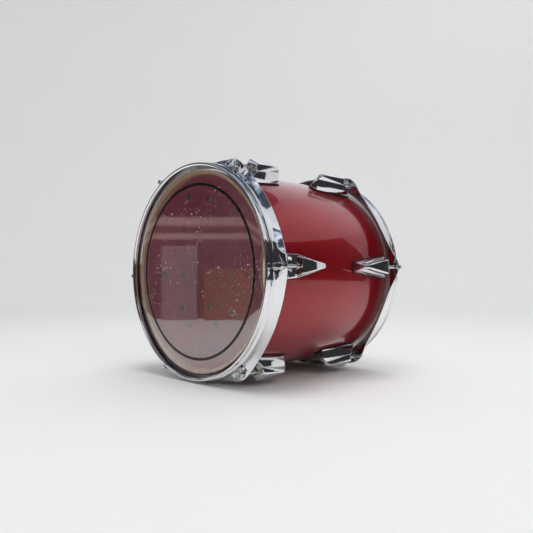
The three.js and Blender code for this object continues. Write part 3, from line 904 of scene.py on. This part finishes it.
def rod_mesh():
    """Square key head, round collar, washer and threaded shaft. Local y runs up from the lip plane."""
    seat = EAR_SEAT - 0.3
    head = hull("rod_head", [
        (sx * w, y, sz * w)
        for sx in (-1, 1) for sz in (-1, 1)
        for w, y in ((2.5, 4.6), (3.175, 5.5), (3.175, 15.4))
    ], (ROD_PLATE,))
    bevel(head, 0.35, 3)
    collar = [(0, 14.9), (4.2, 14.9), (5.0, 15.5), (5.2, 16.3), (5.2, 17.4), (4.9, 17.9), (0, 17.9)]
    collar = turned("rod_collar", collar, (ROD_PLATE,), sides=40, sharp=40)
    washer_outline = rounded([(2.9, 17.9), (6.0, 17.9), (6.0, seat), (2.9, seat)], 0.3, 3)
    washer = ring("rod_washer", washer_outline, (ROD_PLATE,), sides=40)
    neck = [(0, 17.5), (ROD_SHAFT_R, 17.5), (ROD_SHAFT_R, 27.4), (0, 27.4)]
    neck = turned("rod_neck", neck, (ROD_PLATE,), sides=32)
    rod = join([head, collar, washer, neck, thread("rod_thread")], "rod")
    shade(rod.data, 40)
    return take_mesh(rod)


def nut_mesh():
    """Insert nut with a groove round it. Local y runs up from the lip plane."""
    start, length = 45.5, 22.0
    outline = [
        (3.15, start),
        (4.3, start),
        (4.6, start + 0.5),
        (4.6, start + 5.2),
        (4.1, start + 5.8),
        (4.1, start + 8.2),
        (4.6, start + 8.8),
        (4.6, start + length - 0.5),
        (4.3, start + length),
        (3.15, start + length),
    ]
    return take_mesh(ring("nut", outline, (NUT_PLATE,), sides=40))


def make_rods():
    """Twelve rods, each key head stopped at an angle of its own, and the nut that each one runs into."""
    rod, nut = rod_mesh(), nut_mesh()
    for e, end in enumerate(ENDS):
        for i in range(LUGS):
            which = f"{end}_{i + 1}"
            where = spoke(360 * i / LUGS, 0, ROD_R, end)
            turn = Matrix.Rotation(math.radians((31 * i + 17 * e) % 90), 4, "Y")
            key = linked(f"rod_{which}", rod)
            place(key, where @ turn, f"{end}_rod_{i + 1}", f"tension_rod_{which}", slot="rod_steel")
            barrel = linked(f"nut_{which}", nut)
            place(barrel, where, "drum_body", f"insert_nut_{which}", slot="insert_brass")


# ---------------------------------------------------------------- arm bracket, wing bolt and vent

def make_bracket():
    """Cast plate and block, with the arm bore through the block and a tapped hole for the clamp bolt."""
    corner = 8
    plate = hull("arm_bracket_casting", [
        (a * x, b * y, z)
        for a in (-1, 1) for b in (-1, 1)
        for x, y, z in (
            (24, 39 - corner, -3),
            (24 - corner, 39, -3),
            (24, 39 - corner, 4.4),
            (24 - corner, 39, 4.4),
            (22, 38 - corner, 6.4),
            (23 - corner, 37, 6.4),
        )
    ], (BRACKET_ALLOY,))
    block = hull("block", [
        (a * x, b * 17, z) for a in (-1, 1) for b in (-1, 1) for x, z in ((14, 5.4), (14, 21), (9, 33))
    ], (BRACKET_ALLOY,))
    bevel(plate, 1.4, 3, 20)
    bevel(block, 2.2, 4, 20)
    cut(plate, block, "UNION")
    arm = drill(-22, 22, ARM_BORE_R, 64)
    arm.location = (0, 0, ARM_BORE_OUT * MM)
    cut(plate, arm)
    tapped = drill(0, 20, CLAMP_HOLE_R, 32)
    tapped.matrix_world = Matrix.Translation((0, 0, 20 * MM)) @ Matrix.Rotation(math.pi / 2, 4, "X")
    cut(plate, tapped)
    cut(plate, shell_core(CAST_SEAT_R))
    shade(plate.data, 35)
    place(plate, standing(BRACKET_ANGLE, BRACKET_Y), "drum_body", "arm_bracket", slot="bracket_metal")


def make_wing_bolt():
    """Bolt with two flat wings, seated on the block. Local y runs out from the shell's surface."""
    seat = 33.3
    shaft = [(0, 28.2), (2.4, 28.2), (3.0, 28.9), (3.0, seat - 0.4), (5.5, seat), (5.5, seat + 1.6)]
    shaft += [(4.9, seat + 3), (4.6, seat + 6.2), (3.8, seat + 7), (0, seat + 7.2)]
    bolt = turned("arm_bracket_clamp_bolt", shaft, (ROD_PLATE,), sides=40, sharp=40)
    for s in (-1, 1):
        points = []
        for a in (-1, 1):
            points += [(s * x, seat + up, a * half_t) for x, up, half_t in (
                (2, 1.6, 2.2),
                (2, 6.5, 2.2),
                (9.5, 3.8, 1.6),
                (13.6, 8.6, 1.5),
                (14, 12, 1.5),
                (12.6, 15, 1.5),
                (10.2, 15.9, 1.5),
                (6.6, 13, 1.6),
            )]
        wing = hull("wing", points, (ROD_PLATE,))
        cut(bolt, bevel(wing, 0.8, 3, 20), "UNION")
    shade(bolt.data, 35)
    upright = spoke(BRACKET_ANGLE, BRACKET_Y, SHELL_R) @ Matrix.Rotation(-math.pi / 2, 4, "Z")
    place(bolt, upright, "wing_bolt", "arm_bracket_wing_bolt", slot="rod_steel")


def make_vent():
    """Eyelet through the shell's wall, chrome outside and dull inside."""
    outline = [
        (VENT_BORE_R, -7.9),
        (9.0, -7.9),
        (9.0, -6.7),
        (6.1, -6.7),
        (6.1, 0.4),
        (9.0, 0.4),
        (9.0, 1.1),
        (7.8, 1.9),
        (VENT_BORE_R, 1.9),
    ]
    profile = rounded(outline, [0.4, 0.3, 0.2, 0.2, 0.2, 0.2, 0.5, 0.9, 0.9], 4)
    slots = [1 if y < -3 else 0 for _, y in profile]
    vent = ring("vent_eyelet", profile, (CHROME, ZINC), slots, sides=64)
    upright = spoke(BRACKET_ANGLE, VENT_Y, SHELL_R) @ Matrix.Rotation(-math.pi / 2, 4, "Z")
    place(vent, upright, "drum_body", "vent_grommet", slot="vent_chrome")


def dress_pads():
    """The gaskets keep their CAD shapes and take the rubber material."""
    for name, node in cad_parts.items():
        if "pad" in name:
            node.data.materials.clear()
            node.data.materials.append(RUBBER)


# ---------------------------------------------------------------- studio

SENSOR_WIDTH = 36
CAMERA_DISTANCE = 1.002                  # metres from the middle of the drum
CAMERA_AZIMUTH, CAMERA_ELEVATION = 46.15, -0.15
LOOK_AZIMUTH, LOOK_ELEVATION = 45.87, -0.65
FOCAL_IN_FRAME_WIDTHS = 1.13


def direction(azimuth, elevation):
    """From the drum towards a viewer at that azimuth and elevation, in degrees."""
    a, e = math.radians(azimuth), math.radians(elevation)
    return Vector((math.sin(a) * math.cos(e), -math.cos(a) * math.cos(e), math.sin(e)))


def make_camera():
    """Camera level with the drum's axis, midway between its end and its side."""
    data = bpy.data.cameras.new("camera")
    data.sensor_width = SENSOR_WIDTH
    data.lens = SENSOR_WIDTH * FOCAL_IN_FRAME_WIDTHS
    camera = bpy.data.objects.new("camera", data)
    out = direction(CAMERA_AZIMUTH, CAMERA_ELEVATION) * CAMERA_DISTANCE
    camera.location = Vector((0, 0, AXIS_Z)) + out
    camera.rotation_mode = "QUATERNION"
    camera.rotation_quaternion = (-direction(LOOK_AZIMUTH, LOOK_ELEVATION)).to_track_quat("-Z", "Y")
    bpy.context.scene.collection.objects.link(camera)
    bpy.context.scene.camera = camera


def sheet_of_revolution(name, outline, material, start=0.0, span=360.0, steps=96):
    """Open surface about Z from [radius, z] points in metres, over a span of angles in degrees."""
    vertices, faces = [], []
    closed = span >= 360
    count = steps if closed else steps + 1
    for i in range(count):
        a = math.radians(start + span * i / steps)
        vertices += [(r * math.cos(a) / MM, r * math.sin(a) / MM, z / MM) for r, z in outline]
    n = len(outline)
    for i in range(steps):
        a, b = i * n, (i + 1) % count * n
        faces += [(a + j, a + j + 1, b + j + 1, b + j) for j in range(n - 1)]
    obj = new_object(name, vertices, faces, None, (material,), 60)
    return obj


def area_light(name, position, target, size, power, colour=(1, 1, 1)):
    """A soft rectangular light that reflections don't show."""
    data = bpy.data.lights.new(name, "AREA")
    data.shape = "RECTANGLE"
    data.size, data.size_y = size
    data.energy = power
    data.color = colour
    light = bpy.data.objects.new(name, data)
    light.location = position
    light.rotation_mode = "QUATERNION"
    light.rotation_quaternion = (Vector(target) - Vector(position)).to_track_quat("-Z", "Y")
    light.visible_glossy = False
    bpy.context.scene.collection.objects.link(light)


def only_mirrored(name, outline, material, start=0.0, span=360.0, steps=96):
    """A studio surface that shows in reflections and nowhere else."""
    surface = sheet_of_revolution(name, outline, material, start, span, steps)
    surface.visible_camera = False
    surface.visible_diffuse = False
    surface.visible_shadow = False
    surface.visible_transmission = False


def make_backdrop():
    """Round paper floor that curves up into a wall on every side."""
    floor_r, wall_r, wall_top = 1.75, 3.0, 3.6
    curve_r = wall_r - floor_r
    white = paper()
    sheet_of_revolution("floor", [(0.0, 0.0), (0.3, 0.0), (floor_r, 0.0)], white)
    curve = [(floor_r, 0.0)]
    for t in np.linspace(0.05, math.pi / 2, 16):
        curve.append((floor_r + curve_r * math.sin(t), curve_r * (1 - math.cos(t))))
    sheet_of_revolution("sweep", curve + [(wall_r, wall_top)], white)


def make_reflections():
    """What bright metal and lacquer mirror: a dim room with a long soft window of light on one side."""
    wall_r, box_r, sill = 1.36, 1.3, 0.82
    crate = card("crate_grey", (0.36, 0.3, 0.31))
    carton = card("carton_tan", (0.3, 0.15, 0.08))
    window = card("soft_window", (0.4, 0.4, 0.42), 1.1)
    only_mirrored("room_walls", [(wall_r, 0.0), (wall_r, sill)], room_wall(), -165, 223.5)
    only_mirrored("room_ceiling", [(0.0, 2.5), (1.5, 2.5), (2.6, 1.7)], room_ceiling())
    only_mirrored("crate", [(box_r, 0.0), (box_r, 0.26)], crate, -142.7, 5.4, 4)
    only_mirrored("carton", [(box_r, 0.0), (box_r, 0.18)], carton, -136.2, 7.8, 4)
    only_mirrored("soft_window", [(wall_r, sill + 0.01), (1.5, 1.4), (1.5, 2.2)], window, 0, 150)


def make_light():
    """A pale even surround, with one large light overhead and two weak ones."""
    world = bpy.data.worlds.new("studio")
    world.use_nodes = True
    background = world.node_tree.nodes["Background"]
    background.inputs["Color"].default_value = (0.93, 0.94, 0.96, 1)
    background.inputs["Strength"].default_value = 0.65
    bpy.context.scene.world = world
    bpy.context.scene.view_settings.view_transform = "Standard"
    area_light("overhead", (0.3, -0.2, 2.1), (0, 0, 0.1), (1.2, 1.2), 18.5, (1.0, 0.99, 0.975))
    area_light("backdrop", (-0.1, 1.3, 2.5), (-1.9, 2.2, 0.9), (1.4, 0.6), 9)
    area_light("side", (1.9, -0.3, 1.6), (0, 0, 0.15), (1.4, 1.0), 5)


# ---------------------------------------------------------------- build

make_camera()
make_shell()
for which in ENDS:
    make_film(which)
    make_flesh_hoop(which)
    make_counterhoop(which)
make_lugs()
make_screws()
make_rods()
make_bracket()
make_wing_bolt()
make_vent()
dress_pads()
make_backdrop()
make_reflections()
make_light()
